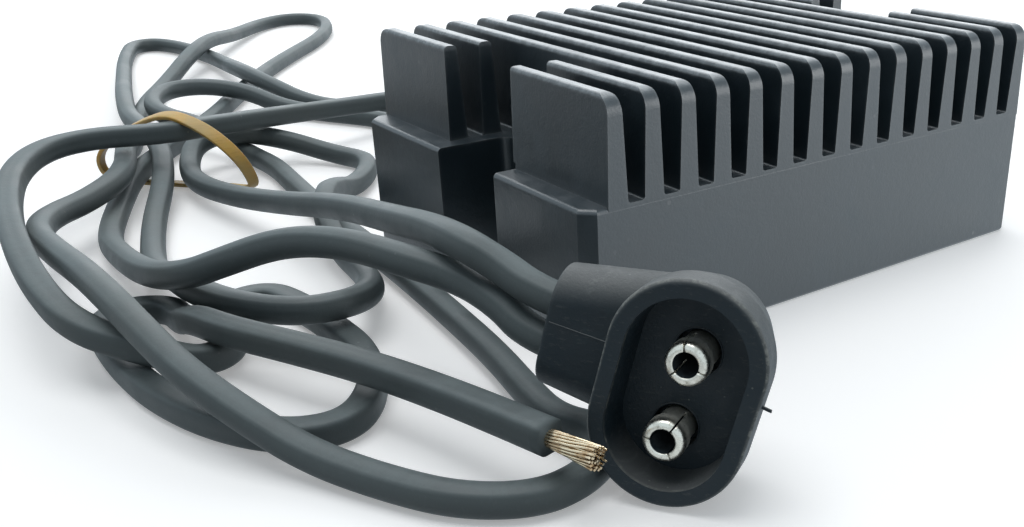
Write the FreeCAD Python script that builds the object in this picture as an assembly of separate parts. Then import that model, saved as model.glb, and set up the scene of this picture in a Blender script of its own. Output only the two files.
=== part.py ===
import FreeCAD
import Part
import math
import os

from FreeCAD import Placement, Rotation, Vector

# Alternator rectifier: a finned cast heatsink, potted electronics below the fins, and three leads.
# Millimetres. X runs across the fins, Y along them, Z up. The origin is under the heatsink's middle.

# Heatsink casting
fin_count = 15
fin_pitch = 6.8
fin_height = 16.0
fin_root = 3.7
fin_tip = 2.4
fin_tip_round = 0.7
fin_root_round = 0.5
fin_end_round = 3.0
fin_end_lean = 0.4
fin_row_offset = 1.1
base_height = 24.7
base_length = 75.2
base_width = 106.0
corner_chamfer = 2.2
side_draft = 0.45
edge_round = 0.8

# Mounting slots, one at the middle of each side, and the step cut into the outer two fins
slot_near = -11.0
slot_far = 8.0
slot_wall = 3.7
slot_corner = 2.0
fin_cut_near = -10.4
fin_cut_far = 11.4
fins_cut = 2

# Well under the fins, which holds the electronics
well_side_margin = 5.8
end_wall = 4.3
well_ceiling = 17.6
well_corner = 4.0
fill_setback = 1.0

# Power devices, held against the well's ceiling by one bar
device_width = 10.4
device_length = 15.6
device_height = 4.6
device_spacing = 16.0
device_row_y = 9.0
pad_thickness = 0.5
pad_margin = 0.6
leg_width = 0.9
leg_thickness = 0.6
leg_spacing = 2.5
leg_reach = 2.6
bar_thickness = 3.0
bar_width = 7.0
bar_overhang = 3.0
bar_corner = 1.5
screw_diameter = 4.0
screw_head_diameter = 7.0
screw_head_height = 1.6
screw_bite = 4.6
screw_hex = 2.5
screw_hex_depth = 1.0

# Circuit board and what stands on it, each placed across and from the board's near end
board_side_clearance = 3.0
board_end_clearance = 3.3
board_thickness = 1.6
board_gap = 0.6
board_corner = 3.0
capacitor_diameter = 8.0
capacitor_height = 9.0
capacitor_place = (-20.0, 14.0)
transistor_width = 4.6
transistor_height = 4.8
transistor_spacing = 8.0
transistor_place = (-5.0, 12.0)
resistor_diameter = 2.4
resistor_length = 6.4
resistor_spacing = 4.4
resistor_count = 4
resistor_place = (13.0, 6.0)
resistor_wire = 0.7
zener_diameter = 2.6
zener_length = 5.0
zener_place = (-4.0, 21.0)
terminal_thickness = 0.8
terminal_width = 4.4
terminal_height = 4.8

# Leads and their grommet in the far wall
lead_diameter = 4.6
lead_spacing = 7.5
lead_end_setback = 4.3
lead_hole_clearance = 0.1
grommet_neck_margin = 1.6
grommet_flange = 1.7
grommet_flange_depth = 1.4
grommet_seat_depth = 1.0
strand_root_diameter = 2.2
strand_tip_diameter = 3.2
strand_length = 7.8
output_lead_end = (-77.9, -65.8, 9.3)

# Rubber band, a loose flat loop that stands across the leads
band_width = 3.2
band_thickness = 0.95
band_place = (-64.0, 83.0)
band_turn = 137.9
band_corners = [(3.5, 1.25), (12.2, 17.3), (16.5, 17.3), (30.2, 10.8), (30.2, 1.25)]
band_rounds = [1.2, 2.0, 2.4, 3.0, 2.6]

# Elbow plug with two round pins: a cup that opens forward, and a barrel that leaves it sideways
plug_width = 20.0
plug_height = 29.3
plug_rim = 2.25
plug_band_depth = 4.5
plug_depth = 12.5
plug_back_width = 15.7
plug_back_height = 25.0
plug_recess_depth = 6.5
plug_recess_draft = 0.3
plug_edge_round = 0.7
barrel_thickness = 9.2
barrel_height = 16.6
barrel_root_height = 21.6
barrel_length = 19.9
barrel_root = 4.0
barrel_depth = 10.7
barrel_drop = 0.7
barrel_root_rise = 0.8
barrel_lead_spacing = 5.8
barrel_bore_depth = 2.0
barrel_first_run = 5.5
pin_spacing = 10.4
pin_drop = 1.15
pin_diameter = 5.6
pin_shank_diameter = 4.8
pin_base_diameter = 4.0
pin_bore = 3.3
pin_setback = 1.0
pin_head_length = 2.6
pin_head_taper = 1.0
pin_tip_round = 0.9
pin_slit = 0.22
pin_slit_depth = 5.5
pin_bore_depth = 7.0
pin_well_diameter = 6.0
pin_well_depth = 3.0
pin_base_length = 2.0
plug_yaw = -55.8
plug_pitch = 7.6
plug_lean = 13.6
plug_place = (-66.7, -75.6)
table_gap = 0.1

# Worked out from the sizes above
fin_first_x = fin_row_offset - fin_pitch * (fin_count - 1) / 2
overall_height = base_height + fin_height
half_length = base_length / 2
half_width = base_width / 2
well_length = base_length - 2 * end_wall
well_width = 3 * device_spacing + device_width + 2 * well_side_margin
slot_depth = half_width - well_width / 2 - slot_wall
board_width = well_width - 2 * board_side_clearance
board_length = well_length - 2 * board_end_clearance
lead_end_y = well_length / 2 - lead_end_setback
board_near = -board_length / 2
device_top = well_ceiling - pad_thickness
device_bottom = device_top - device_height
bar_bottom = device_bottom - bar_thickness
head_bottom = bar_bottom - screw_head_height
board_top = head_bottom - board_gap
board_bottom = board_top - board_thickness
lead_z = board_top + lead_diameter / 2
device_xs = [device_spacing * (k - 1.5) for k in range(4)]
screw_xs = [-device_spacing, device_spacing]
lead_xs = [-lead_spacing, 0.0, lead_spacing]
pin_zs = (pin_spacing / 2 - pin_drop, -pin_spacing / 2 - pin_drop)
barrel_lead_zs = (barrel_lead_spacing / 2 - barrel_drop, -barrel_lead_spacing / 2 - barrel_drop)
lead_hole = lead_diameter + 2 * lead_hole_clearance


def box(x0, x1, y0, y1, z0, z1):
    return Part.makeBox(x1 - x0, y1 - y0, z1 - z0, Vector(x0, y0, z0))


def cylinder(x, y, z, diameter, length, axis=Vector(0, 0, 1)):
    return Part.makeCylinder(diameter / 2, length, Vector(x, y, z), axis)


def polygon(points):
    return Part.makePolygon(points + [points[0]])


def rounded_rectangle(width, length, corner, z, x=0.0, y=0.0):
    """A closed wire in a level plane, with round corners."""
    a = width / 2
    b = length / 2
    edges = []
    corners = [(a, b, 0), (-a, b, 90), (-a, -b, 180), (a, -b, 270)]
    for cx, cy, start in corners:
        mid = Vector(x + cx - math.copysign(corner, cx), y + cy - math.copysign(corner, cy), z)
        edges.append(Part.makeCircle(corner, mid, Vector(0, 0, 1), start, start + 90))
    sides = []
    for k in range(4):
        end = edges[k].lastVertex(True).Point
        begin = edges[(k + 1) % 4].firstVertex(True).Point
        sides.append(edges[k])
        if end.distanceToPoint(begin) > 0.001:
            sides.append(Part.makeLine(end, begin))
    return Part.Wire(Part.__sortEdges__(sides))


def plate(width, length, corner, z0, z1, x=0.0, y=0.0):
    face = Part.Face(rounded_rectangle(width, length, corner, z0, x, y))
    return face.extrude(Vector(0, 0, z1 - z0))


def edges_where(shape, test):
    return [edge for edge in shape.Edges if test(edge.CenterOfMass, edge)]


# Heatsink

def base_outline(z, inset):
    a = half_width - inset
    b = half_length - inset
    c = corner_chamfer
    corners = [(-a + c, -b), (a - c, -b), (a, -b + c), (a, b - c),
               (a - c, b), (-a + c, b), (-a, b - c), (-a, -b + c)]
    return polygon([Vector(x, y, z) for x, y in corners])


def base_block():
    """The drafted block below the fins, with its foot and its ledge rounded."""
    block = Part.makeLoft([base_outline(0.0, 0.0), base_outline(base_height, side_draft)], True, True)
    block = block.makeFillet(edge_round, edges_where(block, lambda c, e: c.z < 0.01))
    return block.makeFillet(edge_round, edges_where(block, lambda c, e: c.z > base_height - 0.01))


def comb_profile():
    """The whole row of fins seen from the end: tapered fins, round tips and round gap floors."""
    foot = base_height - edge_round
    lean = (fin_root - fin_tip) / 2 / fin_height
    points = [Vector(fin_first_x - fin_root / 2, 0, foot)]
    rounds = [0.0]
    for k in range(fin_count):
        x = fin_first_x + k * fin_pitch
        half_root = fin_root / 2
        half_tip = half_root - lean * fin_height
        if k > 0:
            points.append(Vector(x - half_root, 0, base_height))
            rounds.append(fin_root_round)
        points.append(Vector(x - half_tip, 0, overall_height))
        points.append(Vector(x + half_tip, 0, overall_height))
        rounds += [fin_tip_round, fin_tip_round]
        if k < fin_count - 1:
            points.append(Vector(x + half_root, 0, base_height))
            rounds.append(fin_root_round)
    points.append(Vector(fin_first_x + (fin_count - 1) * fin_pitch + fin_root / 2, 0, foot))
    rounds.append(0.0)
    return rounded_profile(points, rounds)


def rounded_profile(points, rounds):
    """A closed wire of straight sides, where each corner has its own radius."""
    edges = []
    count = len(points)
    start = None
    last = None
    for k in range(count):
        before, here, after = points[k - 1], points[k], points[(k + 1) % count]
        one = (before - here).normalize()
        two = (after - here).normalize()
        begin = end = here
        if rounds[k] > 0:
            half = one.getAngle(two) / 2
            reach = rounds[k] / math.tan(half)
            begin = here + one * reach
            end = here + two * reach
            middle = here + (one + two).normalize() * (rounds[k] / math.sin(half) - rounds[k])
        if last is None:
            start = begin
        else:
            edges.append(Part.makeLine(last, begin))
        if rounds[k] > 0:
            edges.append(Part.Arc(begin, middle, end).toShape())
        last = end
    edges.append(Part.makeLine(last, start))
    return Part.Wire(edges)


def fin_rows():
    """The comb, shaped at both ends by a side view with round top corners and a little lean."""
    comb = Part.Face(comb_profile())
    comb.translate(Vector(0, -half_length, 0))
    comb = comb.extrude(Vector(0, base_length, 0))
    foot = half_length - side_draft
    top = foot - fin_end_lean
    low = base_height - edge_round
    side = [Vector(0, -foot, low), Vector(0, -top, overall_height),
            Vector(0, top, overall_height), Vector(0, foot, low)]
    view = Part.Face(rounded_profile(side, [0, fin_end_round, fin_end_round, 0]))
    view.translate(Vector(-half_width, 0, 0))
    return comb.common(view.extrude(Vector(base_width, 0, 0)))


def side_cuts():
    """Both mounting slots, and the gaps that they need in the outer fins."""
    cuts = []
    slot_middle = (slot_near + slot_far) / 2
    slot_length = slot_far - slot_near
    for side in (-1, 1):
        outside = half_width + slot_corner * 2
        inside = half_width - slot_depth
        cuts.append(plate(outside - inside, slot_length, slot_corner, -1.0, base_height + 1.0,
                          side * (outside + inside) / 2, slot_middle))
        first_kept = fin_first_x + fins_cut * fin_pitch - fin_root / 2
        if side > 0:
            first_kept = fin_first_x + (fin_count - 1 - fins_cut) * fin_pitch + fin_root / 2
        edges = sorted([first_kept, side * (half_width + 1.0)])
        cuts.append(box(edges[0], edges[1], fin_cut_near, fin_cut_far, base_height, overall_height + 1))
    return cuts


def grommet_slot(width, height, y0, y1):
    """A level slot with round ends, running along Y between two planes."""
    middle = (width - height) / 2
    slot = box(-middle, middle, y0, y1, lead_z - height / 2, lead_z + height / 2)
    ends = [cylinder(x, y0, lead_z, height, y1 - y0, Vector(0, 1, 0)) for x in (-middle, middle)]
    return slot.multiFuse(ends).removeSplitter()


neck_height = lead_diameter + grommet_neck_margin
neck_width = 2 * lead_spacing + neck_height
flange_height = neck_height + 2 * grommet_flange
flange_width = neck_width + 2 * grommet_flange
wall_inside = well_length / 2
flange_seat = half_length - side_draft - grommet_seat_depth


def make_heatsink():
    sink = base_block().fuse(fin_rows()).removeSplitter()
    cuts = side_cuts()
    cuts.append(plate(well_width, well_length, well_corner, -1.0, well_ceiling))
    cuts.append(grommet_slot(neck_width, neck_height, wall_inside - 1.0, half_length + 1.0))
    cuts.append(grommet_slot(flange_width, flange_height, flange_seat, half_length + 1.0))
    for x in screw_xs:
        cuts.append(cylinder(x, device_row_y, well_ceiling - 1.0, screw_diameter, screw_bite + 1.0))
    return sink.cut(cuts)


# Electronics

def make_device(x):
    """A flat power package with a metal tab's outline and three legs bent down to the board."""
    near = device_row_y - device_length / 2
    half = device_width / 2
    body = box(x - half, x + half, near, near + device_length, device_bottom, device_top)
    body = body.makeChamfer(0.6, edges_where(body, lambda c, e: c.z < device_bottom + 0.01))
    middle = (device_top + device_bottom) / 2
    legs = []
    for k in (-1, 0, 1):
        lx = x + k * leg_spacing
        out = box(lx - leg_width / 2, lx + leg_width / 2, near - leg_reach, near,
                  middle - leg_thickness, middle)
        down = box(lx - leg_width / 2, lx + leg_width / 2, near - leg_reach,
                   near - leg_reach + leg_thickness, board_top, middle)
        legs += [out, down]
    return body.multiFuse(legs).removeSplitter()


def make_insulator_pads():
    pads = []
    for x in device_xs:
        pads.append(plate(device_width + 2 * pad_margin, device_length + 2 * pad_margin, pad_margin,
                          device_top, well_ceiling, x, device_row_y))
    return Part.makeCompound(pads)


def make_clamp_bar():
    length = device_spacing * 3 + device_width + 2 * bar_overhang - 2 * pad_margin
    bar = plate(length, bar_width, bar_corner, bar_bottom, device_bottom, 0, device_row_y)
    holes = [cylinder(x, device_row_y, bar_bottom - 1, screw_diameter, bar_thickness + 2) for x in screw_xs]
    return bar.cut(holes)


def make_clamp_screws():
    screws = []
    for x in screw_xs:
        shank = cylinder(x, device_row_y, bar_bottom, screw_diameter,
                         well_ceiling + screw_bite - bar_bottom)
        head = cylinder(x, device_row_y, head_bottom, screw_head_diameter, screw_head_height)
        head = head.makeFillet(0.4, edges_where(head, lambda c, e: c.z < head_bottom + 0.01))
        corners = [Vector(x + screw_hex * math.cos(math.radians(60 * k)) / math.sqrt(3),
                          device_row_y + screw_hex * math.sin(math.radians(60 * k)) / math.sqrt(3),
                          head_bottom) for k in range(6)]
        socket = Part.Face(polygon(corners)).extrude(Vector(0, 0, screw_hex_depth))
        screws.append(shank.fuse(head).cut(socket))
    return Part.makeCompound(screws)


def make_circuit_board():
    return plate(board_width, board_length, board_corner, board_bottom, board_top)


def make_capacitor():
    """A can with the rolled groove near its foot."""
    x, y = capacitor_place[0], board_near + capacitor_place[1]
    r = capacitor_diameter / 2
    groove = 0.35
    outline = [Vector(0, 0, 0), Vector(r, 0, 0), Vector(r, 0, 1.2), Vector(r - groove, 0, 1.6),
               Vector(r, 0, 2.0), Vector(r, 0, capacitor_height - 0.4),
               Vector(r - 0.4, 0, capacitor_height), Vector(0, 0, capacitor_height)]
    can = Part.Face(polygon(outline)).revolve(Vector(0, 0, 0), Vector(0, 0, 1), 360)
    can.translate(Vector(x, y, board_top))
    return can


def make_control_transistors():
    """Small round-backed packages, each standing on the board."""
    parts = []
    for k in range(2):
        x = transistor_place[0] + k * transistor_spacing
        y = board_near + transistor_place[1]
        body = cylinder(x, y, board_top + 1.2, transistor_width, transistor_height)
        flat = box(x - transistor_width, x + transistor_width, y + transistor_width * 0.28,
                   y + transistor_width, board_top, board_top + transistor_height + 2)
        body = body.cut(flat)
        legs = [box(x + d - 0.25, x + d + 0.25, y - 0.25, y + 0.25, board_top, board_top + 1.2)
                for d in (-1.3, 0, 1.3)]
        parts.append(body.multiFuse(legs).removeSplitter())
    return Part.makeCompound(parts)


def axial_part(x, y, diameter, length):
    """A round body lying along Y, with one straight wire bent down to the board at each end."""
    z = board_top + diameter / 2
    body = cylinder(x, y - length / 2, z, diameter, length, Vector(0, 1, 0))
    w = resistor_wire / 2
    wires = []
    for side in (-1, 1):
        end = y + side * length / 2
        tip = end + side * 1.6
        y0, y1 = sorted([end, tip])
        wires.append(box(x - w, x + w, y0, y1, z - w, z + w))
        d0, d1 = sorted([tip, tip - side * resistor_wire])
        wires.append(box(x - w, x + w, d0, d1, board_top, z))
    return body.multiFuse(wires).removeSplitter()


def make_resistors():
    x, y = resistor_place[0], board_near + resistor_place[1]
    return Part.makeCompound([axial_part(x + k * resistor_spacing, y + resistor_length / 2 + 2,
                                         resistor_diameter, resistor_length)
                              for k in range(resistor_count)])


def make_zener_diode():
    return axial_part(zener_place[0], board_near + zener_place[1], zener_diameter, zener_length)


def make_lead_terminals():
    """Three upright tabs on the board, each against the end of its lead."""
    tabs = []
    for x in lead_xs:
        tabs.append(box(x - terminal_width / 2, x + terminal_width / 2,
                        lead_end_y - terminal_thickness, lead_end_y,
                        board_top, board_top + terminal_height))
    return Part.makeCompound(tabs)


def make_potting(inside):
    """The hard fill, with room for everything that it covers."""
    fill = plate(well_width, well_length, well_corner, fill_setback, well_ceiling)
    return fill.cut(inside)


def make_grommet():
    """A rubber bush with a flange outside the wall and three holes for the leads."""
    neck = grommet_slot(neck_width, neck_height, wall_inside, flange_seat)
    flange = grommet_slot(flange_width, flange_height, flange_seat, flange_seat + grommet_flange_depth)
    bush = neck.fuse(flange).removeSplitter()
    holes = [cylinder(x, wall_inside - 1, lead_z, lead_hole, base_length, Vector(0, 1, 0)) for x in lead_xs]
    return bush.cut(holes)


# Plug, drawn with its open face on the XZ plane, its depth along Y and its barrel toward -X

def oval(width, height, y):
    wire = rounded_rectangle(width, height, width / 2 - 0.01, 0.0)
    wire.rotate(Vector(0, 0, 0), Vector(1, 0, 0), 90)
    wire.translate(Vector(0, y, 0))
    return wire


def barrel_section(x, height, rise):
    wire = rounded_rectangle(barrel_thickness, height, barrel_thickness / 2 - 0.01, 0.0)
    wire.rotate(Vector(0, 0, 0), Vector(1, 0, 0), 90)
    wire.rotate(Vector(0, 0, 0), Vector(0, 0, 1), 90)
    wire.translate(Vector(x, barrel_depth, rise))
    return wire


def loft(*wires):
    return Part.makeLoft(list(wires), True, True)


def place_plug(shape):
    turned = shape.copy()
    turn = Rotation(Vector(0, 0, 1), plug_yaw)
    turn = turn.multiply(Rotation(Vector(1, 0, 0), -plug_pitch))
    turn = turn.multiply(Rotation(Vector(0, 1, 0), plug_lean))
    spot = Vector(plug_place[0], plug_place[1], plug_lift)
    turned.Placement = Placement(spot, turn).multiply(turned.Placement)
    return turned


def plug_centre_height():
    """How high the face's centre lies when the cup's band rests on the table."""
    radius = plug_width / 2
    straight = plug_height / 2 - radius
    lean = math.radians(plug_lean)
    pitch = math.radians(plug_pitch)
    drop = straight * math.cos(lean) + radius
    return drop * math.cos(pitch) + plug_band_depth * math.sin(pitch) + table_gap


plug_lift = plug_centre_height()


def make_plug_housing():
    cup = loft(oval(plug_width, plug_height, 0), oval(plug_width, plug_height, plug_band_depth))
    cup = cup.makeFillet(plug_edge_round, edges_where(cup, lambda c, e: c.y < 0.01))
    back = loft(oval(plug_width, plug_height, plug_band_depth),
                oval(plug_back_width, plug_back_height, plug_depth))
    back = back.makeFillet(plug_edge_round, edges_where(back, lambda c, e: c.y > plug_depth - 0.01))
    barrel = loft(barrel_section(-barrel_length, barrel_height, -barrel_drop),
                  barrel_section(-barrel_root, barrel_root_height, barrel_root_rise))
    barrel = barrel.makeFillet(plug_edge_round, edges_where(barrel, lambda c, e: c.x < 0.01 - barrel_length))
    body = cup.multiFuse([back, barrel]).removeSplitter()
    width = plug_width - 2 * plug_rim
    height = plug_height - 2 * plug_rim
    draft = 2 * plug_recess_draft
    cuts = [loft(oval(width + draft / plug_recess_depth, height + draft / plug_recess_depth, -1),
                 oval(width - draft, height - draft, plug_recess_depth))]
    inward = Vector(0, 1, 0)
    for z in pin_zs:
        well_end = plug_recess_depth + pin_well_depth
        cuts.append(cylinder(0, plug_recess_depth - 1, z, pin_well_diameter, pin_well_depth + 1, inward))
        cuts.append(cylinder(0, well_end - 1, z, pin_base_diameter, pin_base_length + 1, inward))
    for z in barrel_lead_zs:
        cuts.append(cylinder(-barrel_length - 1, barrel_depth, z, lead_hole, barrel_bore_depth + 1,
                             Vector(1, 0, 0)))
    return place_plug(body.cut(cuts))


def make_plug_pin(z):
    """A hollow contact with a round head, slit in three places, and a base set in the housing."""
    head = pin_diameter / 2
    shank = pin_shank_diameter / 2
    base = pin_base_diameter / 2
    bore = pin_bore / 2
    seat = plug_recess_depth + pin_well_depth
    head_end = pin_setback + pin_head_length
    corner = pin_tip_round * (1 - math.sqrt(0.5))
    round_middle = Vector(head - corner, pin_setback + corner, 0)
    places = [(0, pin_setback + pin_bore_depth), (bore, pin_setback + pin_bore_depth), (bore, pin_setback),
              (head - pin_tip_round, pin_setback)]
    edges = [Part.makeLine(Vector(*a, 0), Vector(*b, 0)) for a, b in zip(places, places[1:])]
    edges.append(Part.Arc(Vector(head - pin_tip_round, pin_setback, 0), round_middle,
                          Vector(head, pin_setback + pin_tip_round, 0)).toShape())
    places = [(head, pin_setback + pin_tip_round), (head, head_end), (shank, head_end + pin_head_taper),
              (shank, seat), (base, seat), (base, seat + pin_base_length), (0, seat + pin_base_length),
              (0, pin_setback + pin_bore_depth)]
    edges += [Part.makeLine(Vector(*a, 0), Vector(*b, 0)) for a, b in zip(places, places[1:])]
    pin = Part.Face(Part.Wire(edges)).revolve(Vector(0, 0, 0), Vector(0, 1, 0), 360)
    slits = []
    for k in range(3):
        slit = box(-pin_slit / 2, pin_slit / 2, -1, pin_setback + pin_slit_depth, 0, pin_diameter)
        slit.rotate(Vector(0, 0, 0), Vector(0, 1, 0), 120 * k)
        slits.append(slit)
    pin = pin.cut(slits)
    pin.translate(Vector(0, 0, z))
    return place_plug(pin)


# Leads. Each route runs from its first point to its last, through points chosen by hand.

def cord(name, points, diameter):
    """A round tube of straight runs joined by arcs that are as large as the runs allow."""
    route = [Vector(*p) for p in points]
    edges = []
    last = route[0]
    tightest = None
    for k in range(1, len(route) - 1):
        one = route[k - 1] - route[k]
        two = route[k + 1] - route[k]
        reach = 0.45 * min(one.Length, two.Length)
        one.normalize()
        two.normalize()
        turn = math.pi - one.getAngle(two)
        radius = reach / math.tan(turn / 2)
        begin = route[k] + one * reach
        end = route[k] + two * reach
        inward = (one + two).normalize()
        middle = route[k] + inward * (radius / math.cos(turn / 2) - radius)
        edges.append(Part.makeLine(last, begin))
        edges.append(Part.Arc(begin, middle, end).toShape())
        last = end
        if tightest is None or radius < tightest[0]:
            tightest = (radius, k)
    edges.append(Part.makeLine(last, route[-1]))
    path = Part.Wire(edges)
    section = Part.Wire(Part.makeCircle(diameter / 2, route[0], route[1] - route[0]))
    tube = path.makePipeShell([section], True, False)
    expected = path.Length * math.pi * diameter ** 2 / 4
    print(name, "length %.0f" % path.Length, "tightest radius %.1f at point %d" % tightest,
          "volume over section times length %.4f" % (tube.Volume / expected))
    return tube


def plug_point(x, y, z):
    """A place on the plug, from its own axes to the shared ones."""
    return tuple(place_plug(Part.Vertex(Vector(x, y, z))).Vertexes[0].Point)


def barrel_start(z):
    """The first two points of a lead, along its bore in the barrel's end."""
    floor = barrel_bore_depth - barrel_length
    return [plug_point(floor, barrel_depth, z), plug_point(floor - barrel_first_run, barrel_depth, z)]


output_route = [
    (lead_xs[2], lead_end_y, lead_z), (lead_xs[2], 44, lead_z), (9, 60, 7.5), (11, 78, 4.5),
    (11, 95, 4.5), (4, 109, 7.5), (-9, 116, 8.5),
    (-24, 115, 8.8), (-40, 109, 10.4), (-54, 102, 12.2), (-66, 95, 13.8), (-78, 92, 14.5),
    (-90, 95, 15), (-101, 90, 15.3), (-109, 75, 15.3), (-114, 54, 15), (-116.5, 34, 14.5),
    (-117.2, 17, 12.5), (-115.5, 4.5, 9.6), (-109, -3.5, 7.4), (-101.5, -5.5, 3.4), (-95, -0.8, 2.4),
    (-93.2, 8, 2.4), (-91, 16.6, 2.4), (-83, 17.4, 2.4), (-80.8, 8.5, 2.4), (-80, -4, 2.4),
    (-80, -16, 2.4), (-84, -28, 2.4), (-91, -35.8, 2.4), (-99.5, -33.5, 2.4), (-105.5, -24, 2.4),
    (-109.3, -11.5, 2.4), (-110.6, 1, 2.4), (-110.6, 12, 2.4), (-109.8, 20.3, 2.4), (-104.2, 25, 2.4),
    (-98.4, 20.8, 2.5), (-98.7, 12.5, 3.2), (-99.4, 3, 7.2), (-97.3, -7.5, 8.1), (-92, -19.5, 8.4),
    (-86.6, -32, 8.5), (-83, -44, 8.8), (-80.3, -55.5, 9.2), output_lead_end]

upper_plug_route = barrel_start(barrel_lead_zs[0]) + [
    (-71.2, -44.6, 23.5), (-73.9, -39.8, 25.9), (-72.6, -27.9, 24.4), (-70.7, -11.8, 21), (-68.3, 14.2, 16),
    (-68.6, 44.4, 9), (-71.5, 65, 5.8), (-73.8, 84, 4.2), (-71.5, 99, 4.2), (-66, 109.5, 7),
    (-57, 110, 8.3), (-46.5, 104, 6), (-37.5, 96, 2.4), (-33.5, 85, 2.4), (-38.5, 74.5, 2.4),
    (-46, 66, 2.8), (-52.5, 58.5, 5.8), (-58.3, 49.5, 7.9), (-63, 40, 6.2), (-65, 28, 2.8),
    (-66.5, 13, 3), (-71, 0, 5.5), (-78, -7.5, 7.6), (-86, -6, 7.6), (-92.5, 3, 7.5), (-96, 13.5, 7.6),
    (-95.8, 25, 6.4), (-96, 37, 3.6), (-93.3, 50, 2.4), (-88, 68, 2.8), (-80, 88, 4.5),
    (-75.5, 102, 6.8), (-73.5, 114, 8.4), (-73, 128, 8.2), (-72, 144, 7.6), (-66, 172, 7.2),
    (-57, 210, 4), (-48, 246, 2.4), (-41.5, 266, 2.4), (-36.5, 278.5, 2.4), (-28.2, 279.5, 2.4),
    (-23, 266, 2.4), (-20.5, 243, 2.4), (-24, 212, 4.5), (-29, 187, 7.8), (-27, 169, 6.4),
    (-21, 153, 2.4), (-14, 138, 2.4), (-5, 126, 2.4), (-1, 111, 2.4), (1, 94, 2.4), (1, 78, 4.5),
    (0, 62, 8.2), (lead_xs[1], 45.5, lead_z),
    (lead_xs[1], lead_end_y, lead_z)]

lower_plug_route = barrel_start(barrel_lead_zs[1]) + [
    (-71.9, -45, 18.6), (-73.5, -37.2, 20.1), (-78, -30.1, 21.5), (-81.4, -21.5, 22),
    (-85.1, -14.2, 21.5), (-88.7, -7, 19.5), (-94, -1.2, 16.5), (-98.1, 6.1, 13), (-100.9, 18.1, 10),
    (-100.1, 40.9, 5.8), (-98.2, 62.1, 3), (-91, 82, 3.2), (-82, 103, 4), (-68, 126, 2.6),
    (-50, 150, 2.4), (-34, 176, 2.4), (-17, 202, 2.4), (3, 228, 2.4), (22.5, 251, 2.4),
    (36.5, 275, 2.4), (41.5, 295.5, 2.4), (32, 306, 2.4), (16.5, 298, 2.4), (-3, 270, 4),
    (-20, 243, 7.9), (-33, 222, 7), (-47, 202, 2.8), (-59, 180, 2.4), (-68, 156, 2.4),
    (-75.5, 131, 2.6), (-79.5, 118, 6), (-82.5, 104, 9.2), (-88, 84, 9), (-98, 72, 8.5),
    (-107, 62, 9.5), (-111.5, 48, 11), (-111.5, 31, 12.5), (-110.5, 15, 13.5), (-110, 0, 13.8),
    (-109, -11, 12.2), (-107.4, -21.5, 9.8), (-104, -31.5, 6.8), (-99.4, -41, 3.2), (-94.2, -51.8, 2.4),
    (-88.8, -61.5, 2.4), (-81, -67.2, 2.4), (-73.6, -66.7, 2.4), (-67.8, -63.2, 2.4), (-65.2, -57.8, 2.4),
    (-68.4, -51.6, 2.4), (-67.1, -42.5, 2.4), (-64.5, -29, 2.4), (-62.5, -12, 2.4), (-60.7, 6.5, 2.4),
    (-59.5, 24, 2.4), (-58.5, 42, 2.4), (-57, 59, 2.4), (-55, 77, 2.4), (-53, 94, 2.4), (-54, 108, 2.4),
    (-59.5, 124, 7.4), (-65, 141, 7.6), (-63, 157, 7.8), (-55, 169, 8), (-45, 168, 8), (-36, 160, 6.6),
    (-29, 150, 2.6), (-22, 137, 2.4), (-14, 124, 2.4), (-9.5, 109, 2.4), (-8.5, 92, 2.4), (-8, 78, 4.5),
    (-7.5, 62, 8.2), (lead_xs[0], 45.5, lead_z),
    (lead_xs[0], lead_end_y, lead_z)]


def make_output_strands():
    """The bare bundle at the output lead's free end, a little wider at its tip."""
    root = Vector(*output_route[-1])
    along = root - Vector(*output_route[-2])
    return Part.makeCone(strand_root_diameter / 2, strand_tip_diameter / 2, strand_length, root, along)


def make_band():
    """A loose loop of flat rubber round the leads, standing on the table."""
    inner = Part.Face(rounded_profile([Vector(x, y, 0) for x, y in band_corners], band_rounds))
    ring = inner.makeOffset2D(band_thickness).cut(inner)
    ring = ring.extrude(Vector(0, 0, band_width))
    ring.translate(Vector(0, 0, -band_width / 2))
    ring.rotate(Vector(0, 0, 0), Vector(1, 0, 0), 90)
    ring.rotate(Vector(0, 0, 0), Vector(0, 0, 1), band_turn)
    ring.translate(Vector(band_place[0], band_place[1], 0))
    return ring


heatsink = make_heatsink()
devices = [make_device(x) for x in device_xs]
pads = make_insulator_pads()
bar = make_clamp_bar()
screws = make_clamp_screws()
board = make_circuit_board()
capacitor = make_capacitor()
transistors = make_control_transistors()
resistors = make_resistors()
zener = make_zener_diode()
terminals = make_lead_terminals()
grommet = make_grommet()
output_lead = cord("output_lead", output_route, lead_diameter)
plug_lead_a = cord("plug_lead_a", upper_plug_route, lead_diameter)
plug_lead_b = cord("plug_lead_b", lower_plug_route, lead_diameter)
leads = [output_lead, plug_lead_a, plug_lead_b]
components = [capacitor, transistors, resistors, zener, terminals]
potting = make_potting(devices + [pads, bar, screws, board] + components + leads)

nodes = {
    "heatsink": heatsink,
    "potting_compound": potting,
    "scr_a": devices[0],
    "scr_b": devices[1],
    "diode_a": devices[2],
    "diode_b": devices[3],
    "insulator_pads": pads,
    "clamp_bar": bar,
    "clamp_screws": screws,
    "circuit_board": board,
    "capacitor": capacitor,
    "control_transistors": transistors,
    "resistors": resistors,
    "zener_diode": zener,
    "lead_terminals": terminals,
    "lead_grommet": grommet,
    "plug_housing": make_plug_housing(),
    "plug_pin_a": make_plug_pin(pin_zs[0]),
    "plug_pin_b": make_plug_pin(pin_zs[1]),
    "plug_lead_a": plug_lead_a,
    "plug_lead_b": plug_lead_b,
    "output_lead": output_lead,
    "output_strands": make_output_strands(),
    "lead_band": make_band(),
}

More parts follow.
